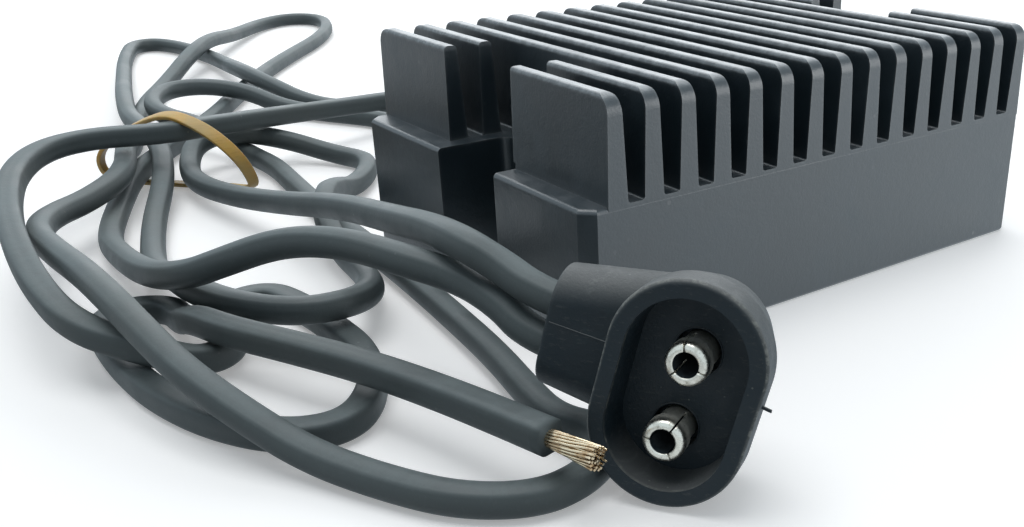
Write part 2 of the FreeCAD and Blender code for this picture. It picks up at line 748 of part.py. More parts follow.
os.makedirs("parts", exist_ok=True)
total = 0
for name, shape in nodes.items():
    count = len(shape.tessellate(0.1)[1])
    total += count
    print(name, "solids", len(shape.Solids), "valid", shape.isValid(), "triangles", count,
          "volume %.1f" % shape.Volume)
    shape.exportStep("parts/%s.step" % name)
print("triangles", total)
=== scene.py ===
"""The alternator rectifier, dressed for the picture: finishes on the cast heatsink and the elbow plug,
three smooth leads, a rubber band, turned contact pins and a bare bundle of wires."""
import math

import bmesh
import bpy
from bpy.props import FloatProperty, FloatVectorProperty, IntProperty, PointerProperty
from mathutils import Matrix, Vector


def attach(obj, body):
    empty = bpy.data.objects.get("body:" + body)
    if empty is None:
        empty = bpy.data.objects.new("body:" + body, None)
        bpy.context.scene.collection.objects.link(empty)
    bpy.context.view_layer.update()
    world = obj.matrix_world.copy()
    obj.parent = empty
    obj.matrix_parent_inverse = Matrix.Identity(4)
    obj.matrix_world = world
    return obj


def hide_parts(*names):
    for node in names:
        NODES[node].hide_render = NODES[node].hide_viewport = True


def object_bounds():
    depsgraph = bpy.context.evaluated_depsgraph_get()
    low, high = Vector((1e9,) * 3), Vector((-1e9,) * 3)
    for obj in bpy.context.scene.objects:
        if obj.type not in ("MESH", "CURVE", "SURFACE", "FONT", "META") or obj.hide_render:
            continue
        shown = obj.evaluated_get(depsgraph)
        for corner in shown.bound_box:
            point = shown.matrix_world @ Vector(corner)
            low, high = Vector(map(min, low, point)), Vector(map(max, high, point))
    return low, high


bl_info = {
    "name": "Alternator rectifier",
    "version": (1, 0, 0),
    "blender": (4, 5, 0),
    "location": "View3D > Sidebar > Rectifier",
    "description": "Makes the leads, plug details, band and finishes of a finned alternator rectifier",
    "category": "Object",
}

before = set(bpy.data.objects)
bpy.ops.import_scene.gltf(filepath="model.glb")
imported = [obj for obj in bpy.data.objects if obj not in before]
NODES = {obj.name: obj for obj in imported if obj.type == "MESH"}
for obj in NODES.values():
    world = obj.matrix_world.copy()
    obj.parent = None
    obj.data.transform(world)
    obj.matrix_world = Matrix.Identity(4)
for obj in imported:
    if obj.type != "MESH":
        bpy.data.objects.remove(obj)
CAD_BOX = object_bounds()

# The picture's size and the pixel that the camera looks along
PICTURE_WIDTH, PICTURE_HEIGHT = 1024, 527
AXIS_PIXEL_X, AXIS_PIXEL_Y = 670.9, 425.7
CAMERA_PLACE = (-0.1360, -0.1625, 0.0744)
CAMERA_TILT, CAMERA_TURN = 60.48, -38.41
CAMERA_LENS, CAMERA_SENSOR = 37.6, 36.0

# Outputs and inputs of shader nodes, by their number
OBJECT_PLACE, SURFACE_NORMAL, GLOSSY_RAY = 3, 1, 3
MIX_SHARE, MIX_FIRST, MIX_SECOND, MIX_COLOUR = 0, 6, 7, 2
AXIS_Z = 2
DOT_VALUE = 1

# The plug's own axes, from the model: across, into the housing, and up
PLUG_MIDDLE = Vector((-0.0667, -0.0756, 0.015087))
PLUG_ACROSS = Vector((0.5206, -0.8214, -0.2331))
PLUG_INWARD = Vector((0.8198, 0.5571, -0.1323))
PLUG_UP = Vector((0.2385, -0.1222, 0.9634))
PIN_HEIGHTS = {"plug_pin_a": 0.00405, "plug_pin_b": -0.00635}
PINS_MIDDLE = (PIN_HEIGHTS["plug_pin_a"] + PIN_HEIGHTS["plug_pin_b"]) / 2
PINS_APART = (PIN_HEIGHTS["plug_pin_a"] - PIN_HEIGHTS["plug_pin_b"]) / 2
PIN_TURNS = {"plug_pin_b": 20, "plug_pin_a": -22}

# Radius of the pins' bores and of the lips round the wells, and depths below the plug's rim
PIN_BORE = 0.00165
PIN_FACE = 0.00102
PIN_SHANK_START, PIN_SHANK_END = 0.0016, 0.0030
RIM_START, RIM_END = 0.00006, 0.00075
RECESS_FLOOR = 0.00652
WELL_LIP = 0.0031
WELL_LIP_STEPS = 48

# Where the barrel starts and is clear of the cup, across the plug
BARREL_START, BARREL_CLEAR = -0.008, -0.011

# The mould line along the barrel: its ends across the plug, how far in and how far up it lies, and its rise
MOULD_LINE_START, MOULD_LINE_END = -0.0192, -0.0094
MOULD_LINE_INWARD, MOULD_LINE_UP = 0.0061, 0.0009
MOULD_LINE_STEPS, MOULD_LINE_RISE = 12, 0.00002

# The nib of flash on the cup's far side: its root across, in and up, and its shape
NIB_ROOT = (0.0096, 0.0022, 0.0022)
NIB_LENGTH, NIB_BEND, NIB_DROP = 0.0016, 0.0002, 0.00004
NIB_STEPS = 6

# The fins' tips, the highest place of the model, where the coat is worn and a highlight is painted
FIN_TOP = CAD_BOX[1][2]

# Where each lead leaves the grommet
OUTPUT_EXIT = (0.0075, 0.0376, 0.0096)
UPPER_PLUG_EXIT = (0.0, 0.0376, 0.0096)
LOWER_PLUG_EXIT = (-0.0075, 0.0376, 0.0096)

# Routes of the leads, in metres, as the control points of one smooth line each
OUTPUT_ROUTE = [
    (0.0075, 0.029, 0.0096), (0.0075, 0.044, 0.0096), (0.009, 0.06, 0.0075), (0.011, 0.078, 0.0045),
    (0.011, 0.095, 0.0045), (0.004, 0.109, 0.0075), (-0.009, 0.116, 0.0085), (-0.024, 0.115, 0.0088),
    (-0.04, 0.109, 0.0104), (-0.054, 0.102, 0.0122), (-0.066, 0.095, 0.0138), (-0.078, 0.092, 0.0145),
    (-0.09, 0.095, 0.015), (-0.101, 0.09, 0.0153), (-0.109, 0.075, 0.0153), (-0.114, 0.054, 0.015),
    (-0.1165, 0.034, 0.0145), (-0.1172, 0.017, 0.0125), (-0.1155, 0.0045, 0.0096),
    (-0.109, -0.0035, 0.0074), (-0.1015, -0.0055, 0.0034), (-0.095, -0.0008, 0.0024),
    (-0.0932, 0.008, 0.0024), (-0.091, 0.0166, 0.0024), (-0.083, 0.0174, 0.0024),
    (-0.0808, 0.0085, 0.0024), (-0.08, -0.004, 0.0024), (-0.08, -0.016, 0.0024), (-0.084, -0.028, 0.0024),
    (-0.091, -0.0358, 0.0024), (-0.0995, -0.0335, 0.0024), (-0.1055, -0.024, 0.0024),
    (-0.1093, -0.0115, 0.0024), (-0.1106, 0.001, 0.0024), (-0.1106, 0.012, 0.0024),
    (-0.1098, 0.0203, 0.0024), (-0.1042, 0.025, 0.0024), (-0.0984, 0.0208, 0.0025),
    (-0.0987, 0.0125, 0.0032), (-0.0994, 0.003, 0.0072), (-0.0973, -0.0075, 0.0081),
    (-0.092, -0.0195, 0.0084), (-0.0866, -0.032, 0.0085), (-0.083, -0.044, 0.0088),
    (-0.0803, -0.0555, 0.0092), (-0.0779, -0.0658, 0.0093)]
UPPER_PLUG_ROUTE = [
    (-0.06672, -0.0552, 0.01996), (-0.06959, -0.05069, 0.02125), (-0.0712, -0.0446, 0.0235),
    (-0.0739, -0.0398, 0.0259), (-0.0726, -0.0279, 0.0244), (-0.0707, -0.0118, 0.021),
    (-0.0683, 0.0142, 0.016), (-0.0686, 0.0444, 0.009), (-0.0715, 0.065, 0.0058), (-0.0738, 0.084, 0.0042),
    (-0.0715, 0.099, 0.0042), (-0.066, 0.1095, 0.007), (-0.057, 0.11, 0.0083), (-0.0465, 0.104, 0.006),
    (-0.0375, 0.096, 0.0024), (-0.0335, 0.085, 0.0024), (-0.0385, 0.0745, 0.0024), (-0.046, 0.066, 0.0028),
    (-0.0525, 0.0585, 0.0058), (-0.0583, 0.0495, 0.0079), (-0.063, 0.04, 0.0062), (-0.065, 0.028, 0.0028),
    (-0.0665, 0.013, 0.003), (-0.071, 0, 0.0055), (-0.078, -0.0075, 0.0076), (-0.086, -0.006, 0.0076),
    (-0.0925, 0.003, 0.0075), (-0.096, 0.0135, 0.0076), (-0.0958, 0.025, 0.0064), (-0.096, 0.037, 0.0036),
    (-0.0933, 0.05, 0.0024), (-0.088, 0.068, 0.0028), (-0.08, 0.088, 0.0045), (-0.0755, 0.102, 0.0068),
    (-0.0735, 0.114, 0.0084), (-0.073, 0.128, 0.0082), (-0.072, 0.144, 0.0076), (-0.066, 0.172, 0.0072),
    (-0.057, 0.21, 0.004), (-0.048, 0.246, 0.0024), (-0.0415, 0.266, 0.0024), (-0.0365, 0.2785, 0.0024),
    (-0.0282, 0.2795, 0.0024), (-0.023, 0.266, 0.0024), (-0.0205, 0.243, 0.0024), (-0.024, 0.212, 0.0045),
    (-0.029, 0.187, 0.0078), (-0.027, 0.169, 0.0064), (-0.021, 0.153, 0.0024), (-0.014, 0.138, 0.0024),
    (-0.005, 0.126, 0.0024), (-0.001, 0.111, 0.0024), (0.001, 0.094, 0.0024), (0.001, 0.078, 0.0045),
    (0, 0.062, 0.0082), (0, 0.0455, 0.0096), (0, 0.029, 0.0096)]
LOWER_PLUG_ROUTE = [
    (-0.06811, -0.0545, 0.01438), (-0.07097, -0.04998, 0.01566), (-0.0719, -0.045, 0.0186),
    (-0.0735, -0.0372, 0.0201), (-0.078, -0.0301, 0.0215), (-0.0814, -0.0215, 0.022),
    (-0.0851, -0.0142, 0.0215), (-0.0887, -0.007, 0.0195), (-0.094, -0.0012, 0.0165),
    (-0.0981, 0.0061, 0.013),
    (-0.1009, 0.0181, 0.01), (-0.1001, 0.0409, 0.0058), (-0.0982, 0.0621, 0.003), (-0.091, 0.082, 0.0032),
    (-0.082, 0.103, 0.004), (-0.068, 0.126, 0.0026), (-0.05, 0.15, 0.0024), (-0.034, 0.176, 0.0024),
    (-0.017, 0.202, 0.0024), (0.003, 0.228, 0.0024), (0.0225, 0.251, 0.0024), (0.0365, 0.275, 0.0024),
    (0.0415, 0.2955, 0.0024), (0.032, 0.306, 0.0024), (0.0165, 0.298, 0.0024), (-0.003, 0.27, 0.004),
    (-0.02, 0.243, 0.0079), (-0.033, 0.222, 0.007), (-0.047, 0.202, 0.0028), (-0.059, 0.18, 0.0024),
    (-0.068, 0.156, 0.0024), (-0.0755, 0.131, 0.0026), (-0.0795, 0.118, 0.006), (-0.0825, 0.104, 0.0092),
    (-0.088, 0.084, 0.009), (-0.098, 0.072, 0.0085), (-0.107, 0.062, 0.0095), (-0.1115, 0.048, 0.011),
    (-0.1115, 0.031, 0.0125), (-0.1105, 0.015, 0.0135), (-0.11, 0, 0.0138), (-0.109, -0.011, 0.0122),
    (-0.1074, -0.0215, 0.0098), (-0.104, -0.0315, 0.0068), (-0.0994, -0.041, 0.0032),
    (-0.0942, -0.0518, 0.0024), (-0.0888, -0.0615, 0.0024), (-0.081, -0.0672, 0.0024),
    (-0.0736, -0.0667, 0.0024), (-0.0678, -0.0632, 0.0024), (-0.0652, -0.0578, 0.0024),
    (-0.0684, -0.0516, 0.0024), (-0.0671, -0.0425, 0.0024), (-0.0645, -0.029, 0.0024),
    (-0.0625, -0.012, 0.0024), (-0.0607, 0.0065, 0.0024), (-0.0595, 0.024, 0.0024), (-0.0585, 0.042, 0.0024),
    (-0.057, 0.059, 0.0024), (-0.055, 0.077, 0.0024), (-0.053, 0.094, 0.0024), (-0.054, 0.108, 0.0024),
    (-0.0595, 0.124, 0.0074), (-0.065, 0.141, 0.0076), (-0.063, 0.157, 0.0078), (-0.055, 0.169, 0.008),
    (-0.045, 0.168, 0.008), (-0.036, 0.16, 0.0066), (-0.029, 0.15, 0.0026), (-0.022, 0.137, 0.0024),
    (-0.014, 0.124, 0.0024), (-0.0095, 0.109, 0.0024), (-0.0085, 0.092, 0.0024), (-0.008, 0.078, 0.0045),
    (-0.0075, 0.062, 0.0082), (-0.0075, 0.0455, 0.0096), (-0.0075, 0.029, 0.0096)]

# The lengthwise ridges of the sheath's mould, as angles round it, with their height and spread
SHEATH_RIDGES = (math.pi / 4, math.pi * 3 / 4)
SHEATH_RIDGE_HEIGHT = 0.00012
SHEATH_RIDGE_SPREAD = 0.13

# The band's loop round the leads, in metres, how far its flat side turns over at each point, and its
# sideways axis
BAND_LOOP = [
    (-0.0618, 0.0836, 0.0012), (-0.0624, 0.0832, 0.0050), (-0.0646, 0.0834, 0.0096),
    (-0.0676, 0.0864, 0.0137), (-0.0708, 0.0906, 0.0164), (-0.0742, 0.0950, 0.0179),
    (-0.0786, 0.1010, 0.0156), (-0.0836, 0.1082, 0.0114), (-0.0872, 0.1126, 0.0066),
    (-0.0860, 0.1120, 0.0012), (-0.0765, 0.1025, 0.0008), (-0.0670, 0.0930, 0.0008)]
BAND_ROLLS = (0.30, 0.60, 0.80, 0.70, 0.35, 0.15, 0.10, 0.10, 0.20, 0.15, 0.0, 0.05)
BAND_ACROSS = Vector((-0.740, -0.672, 0.0))

# The bare wires: rings as share of the bundle's radius, of the outer ring's wires and of its twist
WIRE_RINGS = ((1.0, 1.0, 1.0), (0.74, 0.74, 0.2), (0.48, 0.48, -0.4), (0.20, 0.2, 0.3))
BUNDLE_ROOT, BUNDLE_TIP = 0.0020, 0.0029
BUNDLE_SUNK = 0.0012
BUNDLE_SEED = 3.7

# The stage: the table's size, where its reflection brightens from left to right, and the lamps,
# each with its place, its width in metres and its power in watts
TABLE_HALF = 4.0
GLOW_START, GLOW_END = -0.30, 0.10
LAMP_AIM = Vector((-0.03, 0.0, 0.02))
LAMPS = (
    ("lamp_back", (0.60, 0.85, 0.62), 1.4, 9.0),
    ("lamp_top", (-0.10, 0.10, 0.95), 0.7, 4.5),
    ("lamp_front", (0.75, -0.75, 0.28), 0.6, 2.6))


class RectifierSizes(bpy.types.PropertyGroup):
    """Sizes and colours that someone may want to change."""
    lead_diameter: FloatProperty(
        name="Lead diameter", description="Outside diameter of each lead", default=0.0046, unit="LENGTH")
    wire_count: IntProperty(
        name="Outer wires", description="Wires in the outer ring of the bare bundle", default=17)
    wire_diameter: FloatProperty(
        name="Wire diameter", description="Diameter of one bare wire", default=0.00034, unit="LENGTH")
    bundle_length: FloatProperty(
        name="Bare length", description="How far the wires stand out of the sheath",
        default=0.0078, unit="LENGTH")
    bundle_twist: FloatProperty(
        name="Bundle twist", description="Turn of the outer wires over their bare length",
        default=math.radians(-58), subtype="ANGLE")
    band_width: FloatProperty(
        name="Band width", description="Width of the rubber band", default=0.0029, unit="LENGTH")
    band_thickness: FloatProperty(
        name="Band thickness", description="Thickness of the rubber band", default=0.0009, unit="LENGTH")
    coat_colour: FloatVectorProperty(
        name="Heatsink coat", description="Satin coat on the casting", subtype="COLOR", size=4,
        default=(0.0105, 0.0185, 0.0240, 1))
    sheath_colour: FloatVectorProperty(
        name="Lead sheath", description="Colour of the leads", subtype="COLOR", size=4,
        default=(0.082, 0.098, 0.100, 1))
    plug_colour: FloatVectorProperty(
        name="Plug", description="Colour of the plug's moulding", subtype="COLOR", size=4,
        default=(0.0075, 0.0145, 0.0195, 1))
    band_colour: FloatVectorProperty(
        name="Band", description="Colour of the rubber band", subtype="COLOR", size=4,
        default=(0.60, 0.36, 0.07, 1))


# Shader expressions

class Socket:
    """One output of a shader node. Arithmetic on it adds Math nodes."""

    def __init__(self, shader, link):
        self.shader = shader
        self.link = link

    def _math(self, operation, first, second):
        return self.shader.add("ShaderNodeMath", {"operation": operation}, {0: first, 1: second})

    def __add__(self, other):
        return self._math("ADD", self, other)

    def __radd__(self, other):
        return self._math("ADD", other, self)

    def __sub__(self, other):
        return self._math("SUBTRACT", self, other)

    def __rsub__(self, other):
        return self._math("SUBTRACT", other, self)

    def __mul__(self, other):
        return self._math("MULTIPLY", self, other)

    def __rmul__(self, other):
        return self._math("MULTIPLY", other, self)

    def __abs__(self):
        return self._math("ABSOLUTE", self, 0.0)


class Finish:
    """A procedural material on Object coordinates, in metres."""

    def __init__(self, name, roughness=0.5, **constants):
        self.material = bpy.data.materials.new(name)
        self.material.use_nodes = True
        self.tree = self.material.node_tree
        self.shader = self.tree.nodes["Principled BSDF"]
        self.shader.inputs["Roughness"].default_value = roughness
        for key, value in constants.items():
            self.shader.inputs[key.replace("_", " ")].default_value = value
        self.place = self.add("ShaderNodeTexCoord", out=OBJECT_PLACE)

    def add(self, kind, settings=None, values=None, out=0):
        """Adds a node of a type, with its settings first and then the values or links of its sockets."""
        node = self.tree.nodes.new(kind)
        for key, value in (settings or {}).items():
            setattr(node, key, value)
        for key, value in (values or {}).items():
            if isinstance(value, Socket):
                self.tree.links.new(value.link, node.inputs[key])
            else:
                node.inputs[key].default_value = value
        return Socket(self, node.outputs[out])

    def noise(self, scale, detail=3.0, roughness=0.5, place=None, distortion=0.0):
        return self.add("ShaderNodeTexNoise", None, {
            "Vector": place or self.place, "Scale": scale, "Detail": detail,
            "Roughness": roughness, "Distortion": distortion})

    def specks(self, scale, size):
        """Small round specks, 1 inside and 0 outside."""
        cells = self.add("ShaderNodeTexVoronoi", None, {"Vector": self.place, "Scale": scale})
        return self.step(cells, size, size * 0.4)

    def step(self, value, low, high):
        """0 at low and 1 at high, smooth between them."""
        start, end = (low, high) if low < high else (high, low)
        ends = (0.0, 1.0) if low < high else (1.0, 0.0)
        return self.add("ShaderNodeMapRange", {"interpolation_type": "SMOOTHSTEP"}, {
            "Value": value, "From Min": start, "From Max": end, "To Min": ends[0], "To Max": ends[1]})

    def mix(self, factor, first, second):
        return self.add("ShaderNodeMix", {"data_type": "RGBA"}, {
            MIX_SHARE: factor, MIX_FIRST: first, MIX_SECOND: second}, MIX_COLOUR)

    def stretch(self, scales, turn):
        return self.add("ShaderNodeMapping", None, {
            "Vector": self.place, "Scale": scales, "Rotation": turn})

    def along(self, origin, axis):
        """How far a point lies from a place along an axis, in metres."""
        from_origin = self.add("ShaderNodeVectorMath", {"operation": "SUBTRACT"}, {
            0: self.place, 1: tuple(origin)})
        return self.add("ShaderNodeVectorMath", {"operation": "DOT_PRODUCT"}, {
            0: from_origin, 1: tuple(axis)}, DOT_VALUE)

    def height(self):
        return self.add("ShaderNodeSeparateXYZ", None, {0: self.place}, AXIS_Z)

    def facing_up(self):
        """1 on faces that look straight up, 0 on walls and -1 on undersides."""
        normal = self.add("ShaderNodeNewGeometry", out=SURFACE_NORMAL)
        return self.add("ShaderNodeSeparateXYZ", None, {0: normal}, AXIS_Z)

    def edges(self, reach):
        """1 along outer and inner edges, 0 on flats, within reach."""
        rounded = self.add("ShaderNodeBevel", {"samples": 6}, {"Radius": reach})
        normal = self.add("ShaderNodeNewGeometry", out=SURFACE_NORMAL)
        match = self.add("ShaderNodeVectorMath", {"operation": "DOT_PRODUCT"}, {
            0: rounded, 1: normal}, DOT_VALUE)
        return self.step(match, 0.985, 0.90)

    def finish(self, colour=None, roughness=None, relief=None, depth=0.0001, strength=0.5,
               metallic=None, glow=None):
        """Connects what changes over the surface and gives back the material."""
        for name, value in (("Base Color", colour), ("Roughness", roughness), ("Metallic", metallic),
                            ("Emission Color", glow)):
            if isinstance(value, Socket):
                self.tree.links.new(value.link, self.shader.inputs[name])
            elif value is not None:
                self.shader.inputs[name].default_value = value
        if relief is not None:
            bump = self.add("ShaderNodeBump", None, {
                "Height": relief, "Distance": depth, "Strength": strength})
            self.tree.links.new(bump.link, self.shader.inputs["Normal"])
        return self.material


def shade(colour, factor, warm=0.0):
    """A lighter or darker shade of a colour, and a warmer one where asked."""
    r, g, b = colour[0] * factor, colour[1] * factor, colour[2] * factor
    return (r * (1 + warm), g, b * (1 - warm), 1)


def cast_finish(colour):
    """Satin black coat on a fine casting: worn thin on the fins' tips, with a painted highlight there,
    smudged and a little dusty, with a painted reflection on upward faces and a painted highlight along the
    edges.
    """
    f = Finish("satin_coat", 0.42, Specular_IOR_Level=1.0)
    patches = f.step(f.noise(420, 4, 0.62), 0.38, 0.62)
    # Fin tips lightened toward pale grey: worn coat and a painted highlight
    worn = f.step(f.height(), FIN_TOP - 0.0011, FIN_TOP - 0.0001) * (0.35 + patches * 0.65)
    smudge = f.step(f.noise(32, 5, 0.6, distortion=0.6), 0.45, 0.72)
    rubbed = f.step(f.noise(95, 4, 0.7), 0.5, 0.78)
    # Upward faces lightened: dust and a painted reflection of the light from above
    dust = f.step(f.facing_up(), 0.75, 1.0) * f.step(f.noise(210, 4, 0.6), 0.35, 0.75)
    chips = f.specks(190, 0.10) * f.step(f.noise(60), 0.52, 0.62)
    tone = f.mix(smudge * 0.5, tuple(colour), shade(colour, 1.65))
    tone = f.mix(rubbed * 0.35, tone, shade(colour, 1.9, 0.05))
    tone = f.mix(dust * 0.45, tone, (0.10, 0.11, 0.118, 1))
    tone = f.mix(worn * 0.75, tone, (0.24, 0.265, 0.28, 1))
    # Edges lightened: rubbed coat and a painted edge highlight
    tone = f.mix(f.edges(0.0009) * (0.25 + rubbed * 0.5), tone, (0.15, 0.16, 0.165, 1))
    tone = f.mix(chips * 0.6, tone, (0.12, 0.125, 0.13, 1))
    rough = 0.30 + smudge * 0.12 + rubbed * 0.10 + dust * 0.12 - worn * 0.04
    grain = f.noise(2300, 3, 0.6) * 0.5 + f.noise(620, 4, 0.55) * 0.7 + f.noise(130, 2) * 0.6
    return f.finish(tone, rough, grain, 0.00012, 0.55)


def sheath_finish(colour):
    """Matt dark grey sheath, with painted light on top and painted shade below, and lint and handling marks.
    """
    f = Finish("lead_sheath", 0.55, Specular_IOR_Level=0.36)
    mottle = f.step(f.noise(140, 5, 0.65), 0.36, 0.70)
    smudge = f.step(f.noise(36, 4, 0.6, distortion=0.8), 0.42, 0.70)
    bloom = f.step(f.noise(900, 3, 0.7), 0.52, 0.78)
    brown = f.step(f.noise(24, 3, 0.5), 0.55, 0.75)
    lint = f.specks(420, 0.12) * f.step(f.noise(120), 0.56, 0.66)
    # Painted light: the tops of the leads made lighter, as if lit from above
    dust = f.step(f.facing_up(), 0.35, 1.0) * (0.4 + mottle * 0.6)
    # Painted shade: the undersides of the leads made darker
    painted_shade_below = f.step(f.facing_up(), 0.15, -0.7)
    tone = f.mix(mottle * 0.45, tuple(colour), shade(colour, 1.28))
    tone = f.mix(smudge * 0.35, tone, shade(colour, 0.76))
    tone = f.mix(dust * 0.65, tone, shade(colour, 2.1))
    tone = f.mix(painted_shade_below * 0.6, tone, shade(colour, 0.45))
    tone = f.mix(brown * 0.25, tone, shade(colour, 1.05, 0.16))
    tone = f.mix(bloom * 0.20, tone, shade(colour, 1.7))
    tone = f.mix(lint * 0.5, tone, (0.24, 0.25, 0.25, 1))
    rough = 0.50 + mottle * 0.14 + bloom * 0.06 - smudge * 0.06
    grain = f.noise(3200, 2, 0.6) * 0.5 + f.noise(700, 4, 0.6) * 0.7 + f.noise(170, 3) * 0.8
    return f.finish(tone, rough, grain, 0.0001, 0.45)


def plug_finish(colour):
    """Matt moulded plug: fine grain, brownish rub on the barrel, a pale worn rim, tops lightened by painted
    light and scuffs, and stray specks.
    """
    f = Finish("plug_moulding", 0.55, Specular_IOR_Level=0.36)
    depth = f.along(PLUG_MIDDLE, PLUG_INWARD)
    across = f.along(PLUG_MIDDLE, PLUG_ACROSS)
    worn = f.step(f.noise(900, 4, 0.7), 0.46, 0.62)
    rim = f.step(depth, RIM_START, RIM_START + 0.00012) * f.step(depth, RIM_END, RIM_END - 0.00035)
    rim = rim * (0.25 + worn * 0.75)
    barrel = f.step(across, BARREL_START, BARREL_CLEAR)
    fibres = f.noise(1.0, 4, 0.7, f.stretch((900, 420, 1800), (0.5, 0.0, 0.9)))
    mottle = f.step(f.noise(230, 5, 0.65), 0.36, 0.68)
    scuff = f.step(f.noise(120, 5, 0.75, distortion=0.5), 0.50, 0.74)
    specks = f.specks(620, 0.11) * f.step(f.noise(160), 0.50, 0.62)
    # Tops of the plug lightened: painted light from above, with scuffs through it
    top = f.step(f.facing_up(), 0.15, 0.85)
    tone = f.mix(mottle * 0.35, tuple(colour), shade(colour, 1.4))
    tone = f.mix(barrel * scuff * 0.75, tone, shade(colour, 2.6, 0.14))
    tone = f.mix(top * (0.5 + scuff * 0.5), tone, (0.20, 0.207, 0.205, 1))
    tone = f.mix(f.step(fibres, 0.55, 0.70) * 0.22, tone, (0.12, 0.125, 0.12, 1))
    tone = f.mix(rim * 0.62, tone, (0.26, 0.27, 0.25, 1))
    tone = f.mix(specks * 0.55, tone, (0.30, 0.31, 0.29, 1))
    rough = 0.48 + mottle * 0.12 + scuff * 0.08
    grain = f.noise(2600, 3, 0.65) * 0.8 + fibres * 0.5 + f.noise(420, 3) * 0.5
    return f.finish(tone, rough, grain, 0.0001, 0.6)


def pin_finish():
    """Tin plate, stained in patches, dull along the shank, with painted shade inside the bore and in the
    wells.
    """
    f = Finish("tin_plate", 0.3, Metallic=1.0)
    depth = f.along(PLUG_MIDDLE, PLUG_INWARD)
    dull = f.step(f.noise(650, 5, 0.7), 0.42, 0.66)
    stain = f.step(f.noise(1500, 4, 0.7), 0.58, 0.70)
    across = f.along(PLUG_MIDDLE, PLUG_ACROSS)
    rise = abs(f.along(PLUG_MIDDLE, PLUG_UP) - PINS_MIDDLE) - PINS_APART
    # Painted shade: the inside of each pin's bore made nearly black
    bore = f.step(across * across + rise * rise, (PIN_BORE + 0.00022) ** 2, (PIN_BORE + 0.00010) ** 2)
    bore = bore * f.step(depth, PIN_FACE, PIN_FACE + 0.00028)
    # Painted shade: the pins made darker deep in the wells
    deep = f.step(depth, RECESS_FLOOR + 0.00008, RECESS_FLOOR + 0.00398)
    shank = f.step(depth, PIN_SHANK_START, PIN_SHANK_END)
    tone = f.mix(dull * 0.8, (0.74, 0.71, 0.63, 1), (0.50, 0.47, 0.40, 1))
    tone = f.mix(stain * 0.6, tone, (0.22, 0.20, 0.16, 1))
    tone = f.mix(deep * 0.7, tone, (0.12, 0.115, 0.10, 1))
    tone = f.mix(bore, tone, (0.012, 0.016, 0.018, 1))
    rough = 0.27 + dull * 0.2 + stain * 0.15 + bore * 0.2 + shank * 0.22
    return f.finish(tone, rough, f.noise(1300, 4, 0.6), 0.00008, 0.5, metallic=1.0 - shank * 0.5)


def wire_finish():
    """Bronze-coloured bare wire, browner in places."""
    f = Finish("bare_wire", 0.3, Metallic=1.0)
    brown = f.step(f.noise(420, 3, 0.6), 0.42, 0.62)
    tone = f.mix(brown * 0.8, (0.76, 0.63, 0.45, 1), (0.40, 0.25, 0.12, 1))
    return f.finish(tone, 0.20 + brown * 0.2)


def band_finish(colour):
    """Tan rubber, paler in patches, with fine lengthwise streaks."""
    f = Finish("tan_rubber", 0.42, Subsurface_Weight=0.15, Subsurface_Scale=0.002)
    streak = f.noise(1.0, 4, 0.6, f.stretch((260, 260, 2600), (0.0, 0.4, 0.75)))
    cloud = f.step(f.noise(160, 3, 0.6), 0.38, 0.68)
    tone = f.mix(cloud * 0.4, tuple(colour), (0.50, 0.43, 0.27, 1))
    tone = f.mix(f.step(streak, 0.5, 0.72) * 0.35, tone, shade(colour, 0.6, 0.05))
    return f.finish(tone, 0.36 + cloud * 0.16, streak + f.noise(1500, 3) * 0.6, 0.0001, 0.5)


def plain_finish(name, colour, roughness, scale, depth=0.00005, metallic=0.0):
    """A finish with a little mottle and grain, for the potted parts."""
    f = Finish(name, roughness, Metallic=metallic)
    mottle = f.step(f.noise(scale, 4, 0.6), 0.35, 0.7)
    fine = f.noise(scale * 9, 3, 0.6)
    tone = f.mix(mottle * 0.25, colour + (1,), shade(colour, 1.5))
    tone = f.mix(f.step(fine, 0.5, 0.75) * 0.25, tone, shade(colour, 0.6))
    return f.finish(tone, roughness + mottle * 0.12, fine + mottle * 0.4, depth, 0.5)


def potting_finish():
    """Hard black fill, nearly smooth, with the slow waves of a poured face."""
    f = Finish("potting_fill", 0.28)
    waves = f.noise(45, 3, 0.5)
    dust = f.step(f.noise(500, 4, 0.7), 0.55, 0.75)
    tone = f.mix(dust * 0.4, (0.016, 0.016, 0.017, 1), (0.07, 0.07, 0.068, 1))
    return f.finish(tone, 0.24 + dust * 0.3, waves + f.noise(900, 3) * 0.05, 0.0006, 0.6)


# Mesh helpers

def collect(obj, body="root", slot=None, replaces=()):
    """Puts a finished piece on its body and hides the nodes that it stands for. Its slot is not used."""
    if obj.name not in bpy.context.scene.collection.objects:
        bpy.context.scene.collection.objects.link(obj)
    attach(obj, body)
    if replaces:
        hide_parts(*replaces)
    return obj


def new_piece(name, mesh, material, **facts):
    """An object of one mesh and one material, collected with its facts."""
    mesh.name = name
    mesh.materials.clear()
    mesh.materials.append(material)
    return collect(bpy.data.objects.new(name, mesh), **facts)


def curve_line(points, name, closed=False, resolution=12):
    """A smooth line with these control points, as curve data without thickness."""
    line = bpy.data.curves.new(name, "CURVE")
    line.dimensions = "3D"
    spline = line.splines.new("NURBS")
    spline.points.add(len(points) - 1)
    for point, place in zip(spline.points, points):
        point.co = (*place, 1.0)
    spline.order_u = 3
    spline.use_cyclic_u = closed
    spline.use_endpoint_u = not closed
    spline.resolution_u = resolution
    return line


def points_on(line):
    """The points of a smooth line, in order."""
    scratch = bpy.data.objects.new("scratch_line", line)
    mesh = bpy.data.meshes.new_from_object(scratch)
    places = [v.co.copy() for v in mesh.vertices]
    bpy.data.objects.remove(scratch)
    bpy.data.meshes.remove(mesh)
    return places


